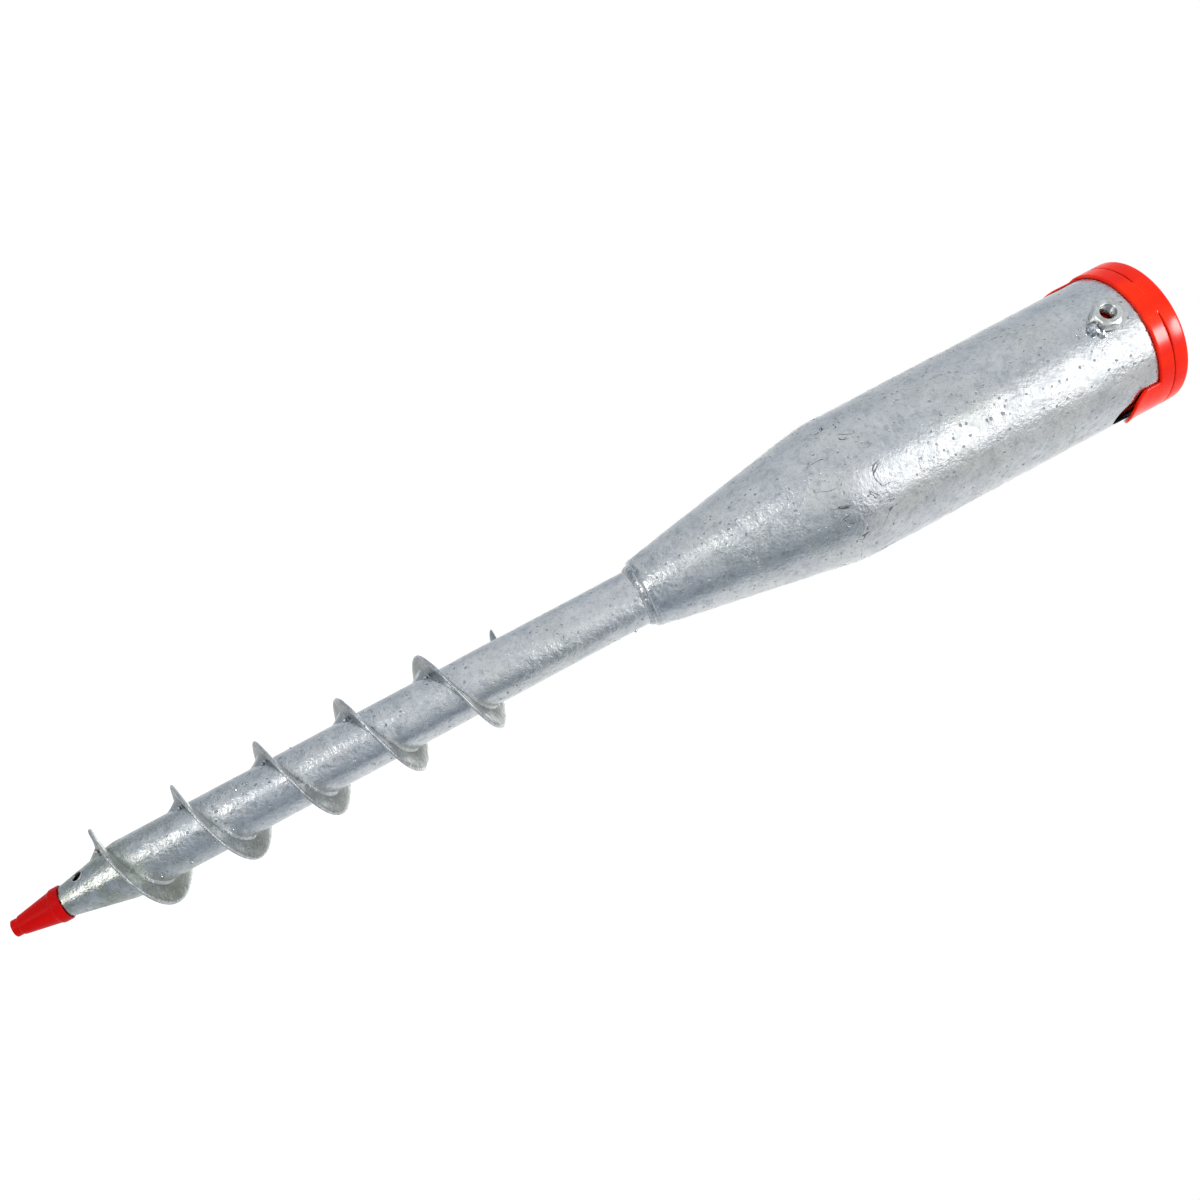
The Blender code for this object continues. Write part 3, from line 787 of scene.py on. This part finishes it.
def hex_nut(side):
    """An M10 nut: chamfered both ways, countersunk, with its thread cut in the bore."""
    columns = 96
    rows = 48
    face = 0.89 * NUT_APOTHEM
    mouth = 5.25 * MM
    loops = []
    for j in range(columns):
        angle = TAU * j / columns
        wide = hexagon_radius(angle)
        fall = (wide - face) * math.tan(math.radians(28))
        profile = rounded([(mouth, 0, 0.12 * MM, 2), (face, 0, 0.3 * MM, 3),
                           (wide, fall, 0.2 * MM, 3), (wide, NUT_HEIGHT - fall, 0.2 * MM, 3),
                           (face, NUT_HEIGHT, 0.3 * MM, 3), (mouth, NUT_HEIGHT, 0.12 * MM, 2)])
        for i in range(1, rows):
            h = NUT_HEIGHT * (1 - i / rows)
            turn = (h / THREAD_PITCH - angle / TAU) % 1.0
            thread = THREAD_RADIUS + THREAD_DEPTH * abs(2 * turn - 1)
            sink = mouth - 0.9 * min(h, NUT_HEIGHT - h)
            profile.append(Vector((max(thread, sink), h)))
        loops.append([polar(r, angle, h) for r, h in profile])
    bm = skin(loops)
    sign = -1 if side == "front" else 1
    upright = Matrix.Rotation(-sign * math.radians(90), 4, "X")
    turn = Matrix.Rotation(NUT_TURN[side], 4, "Y")
    seat = Matrix.Translation((0, sign * (TUBE_RADIUS + GAP), NUT_Z))
    bmesh.ops.transform(bm, matrix=seat @ turn @ upright, verts=bm.verts)
    nut = add_mesh(f"hex_nut_{side}", bm, NUT_ZINC, 35)
    line_bore(nut, THREAD_STEEL, (0, 0, NUT_Z), (0, 1, 0), mouth - 0.1 * MM)
    return place(nut, "root", "nut_zinc", f"clamp_nut_{side}")


def blob(bm, centre, size, seed, fineness=3):
    """Add a lumpy drop of metal, size along x, y and z."""
    start = len(bm.verts)
    bmesh.ops.create_icosphere(bm, subdivisions=fineness, radius=1.0)
    bm.verts.ensure_lookup_table()
    for vert in bm.verts[start:]:
        lump = 1 + 0.20 * grain(vert.co, 0.8, seed) + 0.07 * grain(vert.co, 0.3, seed)
        spot = Vector(vert.co) * lump
        vert.co = centre + Vector((spot.x * size.x, spot.y * size.y, spot.z * size.z))


def tube_spot(across, z, sign, proud):
    """A point over the tube's surface, across the front or back and at this height."""
    radius = TUBE_RADIUS + proud
    return Vector((across, sign * math.sqrt(radius ** 2 - across ** 2), z))


def nut_tack(side):
    """The tack of weld under the nut, run along its lower flats, with spatter round it."""
    sign = -1 if side == "front" else 1
    across = TACK_ACROSS[side]
    lean = 1 if across > 0 else -1
    low = NUT_Z - TACK_DROP
    bm = bmesh.new()
    blob(bm, tube_spot(across, low, sign, 0.9 * MM), Vector((4.3, 3.4, 4.1)) * MM, 1.0, 4)
    blob(bm, tube_spot(across + lean * 4.6 * MM, low + 2.4 * MM, sign, 0.3 * MM),
         Vector((3.2, 2.1, 2.3)) * MM, 2.0, 4)
    blob(bm, tube_spot(across - lean * 4.4 * MM, low + 0.6 * MM, sign, 0.1 * MM),
         Vector((2.4, 1.3, 1.8)) * MM, 3.0, 4)
    for k in range(SPATTER_DROPS):
        turn = 2.4 * k
        far = (6.5 + 0.5 * k) * MM
        size = (0.35 + 0.30 * abs(math.sin(3.7 * k))) * MM
        spot = tube_spot(across + far * math.cos(turn), low + 0.8 * far * math.sin(turn), sign, 0.0)
        if abs(spot.z - NUT_Z) > 9.5 * MM or abs(spot.x) > 10 * MM:
            blob(bm, spot, Vector((size, 0.7 * size, size)), 4.0 + k)
    tack = add_mesh(f"nut_tack_{side}", bm, WELD_ZINC, 70)
    melt = tack.modifiers.new("melt", "REMESH")
    melt.mode = "VOXEL"
    melt.voxel_size = 0.22 * MM
    melt.use_smooth_shade = True
    settle = tack.modifiers.new("settle", "SMOOTH")
    settle.iterations = 3
    apply_modifiers(tack)
    return place(tack, "root", "weld_zinc", f"nut_weld_{side}")


# ---- plastic
def tongue_edge():
    """The collar's lower edge, from a quarter turn away to the tip of a tongue.

    Two lists: the edge's points (distance round the tube, z), and for each of them the
    distance round the tube where its column ends at the seam."""
    half = TONGUE_HALF_ANGLE * CAP_RADIUS
    drop = TONGUE_STRAIGHT_Z - TONGUE_TIP_Z
    start = half + TONGUE_ROOT
    foot = filled([Vector((math.pi / 2 * CAP_RADIUS, CAP_FOOT_Z)), Vector((start, CAP_FOOT_Z))],
                  1.2 * MM)
    for a in (0.25, 0.5, 0.75):
        turn = a * math.pi / 2
        foot.append(Vector((start - TONGUE_ROOT * math.sin(turn),
                            CAP_FOOT_Z - TONGUE_ROOT * (1 - math.cos(turn)))))
    blade_line = [Vector((half, CAP_FOOT_Z - TONGUE_ROOT))]
    for k in range(17):
        turn = math.pi / 2 * k / 16
        blade_line.append(Vector((half * math.cos(turn), TONGUE_STRAIGHT_Z - drop * math.sin(turn))))
    tip = filled(blade_line, 1.0 * MM)
    tops = [spot.x for spot in foot]
    tops += [half * (1 - k / (len(tip) - 1)) for k in range(len(tip))]
    return foot + tip, tops


def collar_column(side, spot, inward, top):
    """One column of the collar: down its outside, round the edge, up inside and round the skirt."""
    centre = 0.0 if side == "right" else math.pi
    inner = TUBE_RADIUS + 0.06 * MM
    bend = 0.25 * MM
    drop = TONGUE_STRAIGHT_Z - TONGUE_TIP_Z

    def lay(radius, along, z):
        below = max(0.0, TONGUE_STRAIGHT_Z + 3 * MM - z) / (drop + 3 * MM)
        thin = TONGUE_THIN[side] * smooth(CAP_FOOT_Z + 0.7 * MM, CAP_FOOT_Z - 0.5 * MM, z)
        radius = lerp(radius, inner, thin) + TONGUE_FLARE[side] * below ** 2
        return polar(radius, centre + along / CAP_RADIUS, z)

    def edge(inset):
        return spot.x + inward.x * inset, spot.y + inward.y * inset

    points = []
    for k in range(4):
        a = math.radians(30 * k)
        points.append(lay(CAP_RADIUS - SEAM_EDGE * (1 - math.sin(a)), top,
                          DECK_TOP_Z - SEAM_EDGE * (1 - math.cos(a))))
    low_along, low_z = edge(CAP_EDGE)
    for k in range(1, 12):
        t = k / 12
        points.append(lay(CAP_RADIUS, lerp(top, low_along, t),
                          lerp(DECK_TOP_Z - SEAM_EDGE, low_z, t)))
    for k in range(5):
        a = math.radians(22.5 * k)
        along, z = edge(CAP_EDGE * (1 - math.sin(a)))
        points.append(lay(CAP_RADIUS - CAP_EDGE * (1 - math.cos(a)), along, z))
    for k in range(4):
        a = math.radians(30 * k)
        along, z = edge(bend * (1 - math.cos(a)))
        points.append(lay(inner + bend * (1 - math.sin(a)), along, z))
    high_along, high_z = edge(bend)
    for k in range(1, 7):
        t = k / 6
        points.append(lay(inner, lerp(high_along, top, t), lerp(high_z, DECK_FOOT_Z, t)))
    across = SKIRT_RADIUS * math.sin(top / CAP_RADIUS)
    foot = SKIRT_FOOT_Z + math.sqrt(max(0.0, NOTCH_RADIUS ** 2 - across ** 2))
    skirt = rounded([(SKIRT_RADIUS, DECK_FOOT_Z, 0, 0), (SKIRT_RADIUS, foot, 0.6 * MM, 3),
                     (SKIRT_RADIUS - SKIRT_WALL, foot, 0.6 * MM, 3),
                     (SKIRT_RADIUS - SKIRT_WALL, DECK_TOP_Z, 0.4 * MM, 2)])
    return points + [polar(r, centre + top / CAP_RADIUS, z) for r, z in skirt]


def collar():
    """The cap's collar: band, deck, skirt inside the bore, and two tongues outside the tube."""
    line, tops = tongue_edge()
    last = len(line) - 1
    inwards = [Vector((0, 1))]
    for k in range(1, last):
        along = line[k + 1] - line[k - 1]
        inwards.append(Vector((along.y, -along.x)).normalized())
    inwards.append(Vector((0, 1)))
    loops = []
    for side in ("right", "left"):
        # up to the tongue's tip on its clockwise side, then away from it on the other
        order = [(k, -1) for k in range(last)] + [(k, 1) for k in range(last, 0, -1)]
        for k, hand in order:
            spot = Vector((hand * line[k].x, line[k].y))
            inward = Vector((hand * inwards[k].x, inwards[k].y))
            loops.append(collar_column(side, spot, inward, hand * tops[k]))
    band = add_mesh("collar_band", skin(loops), CAP_RED, 45)
    return place(band, "collar", "cap_plastic", "cap_collar")


def lid():
    """The lid: rounded top edge, a shallow ring groove, a moulding point and a plug ring."""
    foot = DECK_TOP_Z + GAP
    under = LID_TOP_Z - 1.8 * MM
    plug_outer = SKIRT_RADIUS - SKIRT_WALL - 0.4 * MM
    plug_inner = plug_outer - 2 * MM
    rim_inner = CAP_RADIUS - 2 * MM
    groove = CAP_RADIUS - 7 * MM
    line = rounded([(0, LID_TOP_Z, 0, 0), (1.0 * MM, LID_TOP_Z, 0.2 * MM, 2),
                    (1.2 * MM, LID_TOP_Z - 0.3 * MM, 0.15 * MM, 2),
                    (2.2 * MM, LID_TOP_Z - 0.3 * MM, 0.15 * MM, 2),
                    (2.6 * MM, LID_TOP_Z, 0.2 * MM, 2),
                    (groove - 0.9 * MM, LID_TOP_Z, 0.3 * MM, 2),
                    (groove - 0.4 * MM, LID_TOP_Z - 0.4 * MM, 0.25 * MM, 2),
                    (groove + 0.4 * MM, LID_TOP_Z - 0.4 * MM, 0.25 * MM, 2),
                    (groove + 0.9 * MM, LID_TOP_Z, 0.3 * MM, 2),
                    (CAP_RADIUS, LID_TOP_Z, 1.9 * MM, 6), (CAP_RADIUS, foot, SEAM_EDGE, 3),
                    (rim_inner, foot, 0.3 * MM, 2), (rim_inner, under, 0.5 * MM, 2),
                    (plug_outer, under, 0.5 * MM, 2), (plug_outer, LID_LOW.z, 0.9 * MM, 3),
                    (plug_inner, LID_LOW.z, 0.4 * MM, 2), (plug_inner, under, 0.5 * MM, 2),
                    (0, under, 0, 0)])
    disc = add_mesh("lid_disc", lathe(line, 256), CAP_RED, 45)
    return place(disc, "lid", "cap_plastic", "cap_lid")


def hinge_web():
    """The thin web across the seam."""
    half = math.radians(15.5)
    columns = 40
    rows = 24
    seam = DECK_TOP_Z + GAP / 2
    reach = 2.2 * MM
    loops = []
    for j in range(columns + 1):
        side = 2 * j / columns - 1
        angle = -math.pi / 2 + half * side
        ends = smooth(1.0, 0.86, abs(side))
        outer = []
        for k in range(rows + 1):
            z = lerp(-reach, reach, k / rows)
            sunk = 0.55 * MM * (1 - ends) + 0.4 * MM * smooth(0.6, 1.0, abs(z) / reach)
            dip = 0.16 * MM * math.exp(-(z / (0.7 * MM)) ** 2)
            outer.append(polar(CAP_RADIUS + 0.08 * MM - sunk - dip, angle, seam + z))
        inner = [polar(CAP_RADIUS - 1.0 * MM, angle, seam + lerp(reach, -reach, k / rows))
                 for k in range(rows + 1)]
        loops.append(outer + inner)
    web = add_mesh("hinge_web", skin(loops, closed=False), CAP_RED, 60)
    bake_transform(web)
    return web


def guard():
    """The guard pushed over the driving point, with a rolled rim and a collared end."""
    neck = 3.7 * MM
    wall = 1.2 * MM
    end = 5.0 * MM
    shoulder = GUARD_MOUTH_Z - 6.4 * MM
    line = rounded([(0, 0, 0, 0), (end, 0, 0.5 * MM, 3), (end, neck, 0.25 * MM, 2),
                    (5.6 * MM, neck + 0.7 * MM, 0.3 * MM, 2),
                    (GUARD_RIM_RADIUS - 0.8 * MM, shoulder, 0.5 * MM, 3),
                    (GUARD_RIM_RADIUS, shoulder + 1.4 * MM, 0.6 * MM, 3),
                    (GUARD_RIM_RADIUS, GUARD_MOUTH_Z, 0.7 * MM, 4),
                    (point_radius(GUARD_MOUTH_Z) + GAP, GUARD_MOUTH_Z, 0.3 * MM, 2),
                    (point_radius(shoulder) + GAP, shoulder, 0, 0), (end - wall, neck, 0, 0),
                    (end - wall, 1.6 * MM, 0, 0), (0, 1.6 * MM, 0, 0)])
    shell = add_mesh("guard_shell", lathe(filled(line, 1.5 * MM), 96), GUARD_RED, 45)
    # the steel and the floor beside it take no red glow from it
    shell.visible_diffuse = False
    return place(shell, "guard", "guard_plastic", "tip_guard")


# ---- studio
CAMERA_AZIMUTH = math.radians(20)
CAMERA_ELEVATION = math.radians(-6.73)
CAMERA_DISTANCE = 736.9 * MM
CAMERA_ROLL = math.radians(28)
CAMERA_LENS = 37.87
AIM_HEIGHT = 371.1 * MM
AIM_ACROSS = 8.6 * MM

# the small lamp: degrees from the camera to its right and upwards, metres and watts
LAMP_AZIMUTH = 21
LAMP_ELEVATION = 34
LAMP_DISTANCE = 1.5
LAMP_SIZE = (0.50, 0.44)
LAMP_ENERGY = 27.0


def view_axes():
    """Unit vectors from the object to the camera on the level, and to its right."""
    toward = Vector((math.sin(CAMERA_AZIMUTH), -math.cos(CAMERA_AZIMUTH), 0))
    right = Vector((math.cos(CAMERA_AZIMUTH), math.sin(CAMERA_AZIMUTH), 0))
    return toward, right


def camera():
    """Looks a little up at the upright socket, rolled so that it lies along the diagonal."""
    toward, right = view_axes()
    up = Vector((0, 0, 1))
    back = toward * math.cos(CAMERA_ELEVATION) + up * math.sin(CAMERA_ELEVATION)
    along = up * math.cos(CAMERA_ELEVATION) - toward * math.sin(CAMERA_ELEVATION)
    spot = up * AIM_HEIGHT - right * AIM_ACROSS + back * CAMERA_DISTANCE
    x_axis = along * math.cos(CAMERA_ROLL) + right * math.sin(CAMERA_ROLL)
    y_axis = along * math.sin(CAMERA_ROLL) - right * math.cos(CAMERA_ROLL)
    data = bpy.data.cameras.new("camera")
    data.sensor_width = 36.0
    data.lens = CAMERA_LENS
    data.clip_end = 200.0
    obj = bpy.data.objects.new("camera", data)
    turn = Matrix((x_axis, y_axis, back)).transposed().to_4x4()
    obj.matrix_world = Matrix.Translation(spot) @ turn
    bpy.context.scene.collection.objects.link(obj)
    bpy.context.scene.camera = obj


def sparkle_lamp(pieces):
    """A small softbox that lights only these pieces, for their bright spots."""
    toward, right = view_axes()
    turn = math.radians(LAMP_AZIMUTH)
    rise = math.radians(LAMP_ELEVATION)
    way = (toward * math.cos(turn) + right * math.sin(turn)) * math.cos(rise)
    way.z = math.sin(rise)
    data = bpy.data.lights.new("sparkle_lamp", "AREA")
    data.shape = "ELLIPSE"
    data.size = LAMP_SIZE[0]
    data.size_y = LAMP_SIZE[1]
    data.energy = LAMP_ENERGY
    lamp = bpy.data.objects.new("sparkle_lamp", data)
    lamp.location = Vector((0, 0, DECK_TOP_Z)) + way * LAMP_DISTANCE
    lamp.rotation_euler = way.to_track_quat("Z", "Y").to_euler()
    lamp.visible_camera = False
    lamp.visible_diffuse = False
    bpy.context.scene.collection.objects.link(lamp)
    receivers = bpy.data.collections.new("sparkle_lamp_receivers")
    for piece in pieces:
        receivers.objects.link(piece)
    lamp.light_linking.receiver_collection = receivers


def floor():
    """Low enough that the guard can be pulled off above it, and not seen in reflections."""
    bm = bmesh.new()
    bmesh.ops.create_grid(bm, x_segments=1, y_segments=1, size=60.0)
    obj = add_mesh("floor", bm, floor_paint())
    obj.location.z = -GUARD_TRAVEL - 0.2 * MM
    obj.visible_glossy = False


# brightness of the room all round the object: degrees from the camera, towards its right
ROOM = [(-180, 1.0), (-160, 0.85), (-144, 0.64), (-120, 0.55), (-100, 0.62), (-80, 0.68),
        (-60, 0.70), (-40, 0.64), (-20, 0.70), (-5, 0.76), (10, 0.71), (25, 0.60), (40, 0.45),
        (55, 0.28), (68, 0.26), (80, 0.45), (95, 0.70), (110, 0.78), (130, 0.82), (150, 0.95),
        (170, 1.0)]
# the same below the horizon, which the point and the undersides of the screw reflect
ROOM_LOW = [(-180, 0.95), (-160, 0.80), (-144, 0.62), (-128, 0.46), (-112, 0.37), (-96, 0.33),
            (-80, 0.38), (-64, 0.50), (-48, 0.60), (-30, 0.65), (-16, 0.50), (0, 0.40), (16, 0.32),
            (32, 0.36), (48, 0.37), (64, 0.42), (80, 0.46), (96, 0.50), (112, 0.58), (128, 0.65),
            (144, 0.72), (160, 0.80)]
# softboxes and dark screens: azimuth from, to, elevation from, to, edge (degrees), brightness
SCREENS = [(-8, 51, 15, 50, 13, 1.68), (42, 90, 10, 50, 14, 0.64),
           (-40, -10, -28, -13, 6, 2.1), (-34, -2, -56, -28, 8, 2.2), (166, 194, 5, 28, 8, 2.2),
           (135, 225, 38, 85, 10, 0.38), (140, 220, -85, -24, 10, 0.5)]


def ring(n, turn, levels):
    """The colour of a ring of the room in the direction turn, in degrees."""
    ramp = n.tree.nodes.new("ShaderNodeValToRGB")
    ramp.color_ramp.interpolation = "EASE"
    n.join(ramp.inputs[0], n.span(turn, -180, 180, kind="LINEAR"))
    for k, (azimuth, level) in enumerate(levels + [(180, levels[0][1])]):
        spot = (azimuth + 180) / 360
        stop = ramp.color_ramp.elements[k] if k < 2 else ramp.color_ramp.elements.new(spot)
        stop.position = spot
        # shade is a little bluer than light
        stop.color = (level ** 1.12, level, level ** 0.87, 1.0)
    return ramp.outputs[0]


def room_light(n, turn, rise):
    """What reflections see: the room all round, its softboxes and its dark screens."""
    light = n.mix(n.span(rise, -5, -14), ring(n, turn, ROOM), ring(n, turn, ROOM_LOW))
    steep = n.span(n.math("ABSOLUTE", rise), 45, 80)
    light = n.mix(steep, light, (0.65, 0.65, 0.65))
    for low, high, bottom, top, edge, level in SCREENS:
        half = (high - low) / 2
        soft = edge / 2
        off = n.math("WRAP", n.math("SUBTRACT", turn, (low + high) / 2), 180)
        off.node.inputs[2].default_value = -180
        wide = n.span(n.math("ABSOLUTE", off), half + soft, half - soft)
        tall = n.band(rise, bottom - soft, bottom + soft, top - soft, top + soft)
        light = n.mix(n.times(wide, tall), light, (level, level, level))
    return light


def studio():
    """A white room with soft lights: reflections see the lights, the rest an even glow."""
    world = bpy.data.worlds.new("studio")
    world.use_nodes = True
    world.node_tree.nodes.clear()
    world.cycles.sampling_method = "NONE"
    bpy.context.scene.world = world
    n = Nodes(world.node_tree)
    toward, right = view_axes()
    way = n.node("ShaderNodeTexCoord")
    ahead = n.node("ShaderNodeVectorMath", {0: way, 1: toward}, 1, operation="DOT_PRODUCT")
    across = n.node("ShaderNodeVectorMath", {0: way, 1: right}, 1, operation="DOT_PRODUCT")
    height = n.node("ShaderNodeSeparateXYZ", {0: way}, 2)
    turn = n.times(n.math("ARCTAN2", across, ahead), 180 / math.pi)
    rise = n.times(n.math("ARCSINE", height), 180 / math.pi)

    key = (toward * 0.5 + right * 0.25 + Vector((0, 0, 0.8))).normalized()
    lean = n.node("ShaderNodeVectorMath", {0: way, 1: key}, 1, operation="DOT_PRODUCT")
    glow = n.span(lean, -0.6, 1.0, 0.7, 1.6)
    glow = n.node("ShaderNodeCombineColor", {0: glow, 1: glow, 2: glow})
    rays = world.node_tree.nodes.new("ShaderNodeLightPath")
    seen = n.mix(rays.outputs["Is Camera Ray"], glow, (1.0, 1.0, 1.0))
    seen = n.mix(rays.outputs["Is Glossy Ray"], seen, room_light(n, turn, rise))
    back = n.node("ShaderNodeBackground", {"Color": seen})
    output = world.node_tree.nodes.new("ShaderNodeOutputWorld")
    n.join(output.inputs[0], back)


# ---- the object
socket_shell()
stem_shell()
vent_bead()
screw_blade()
blade_beads()
shiny = [socket_bead(), zinc_drops()]
for nut_side in ("front", "back"):
    shiny += [hex_nut(nut_side), nut_tack(nut_side)]
shiny += [collar(), lid(), hinge_web()]
sparkle_lamp(shiny)
guard()
floor()
camera()
studio()
bpy.context.scene.view_settings.view_transform = "Standard"
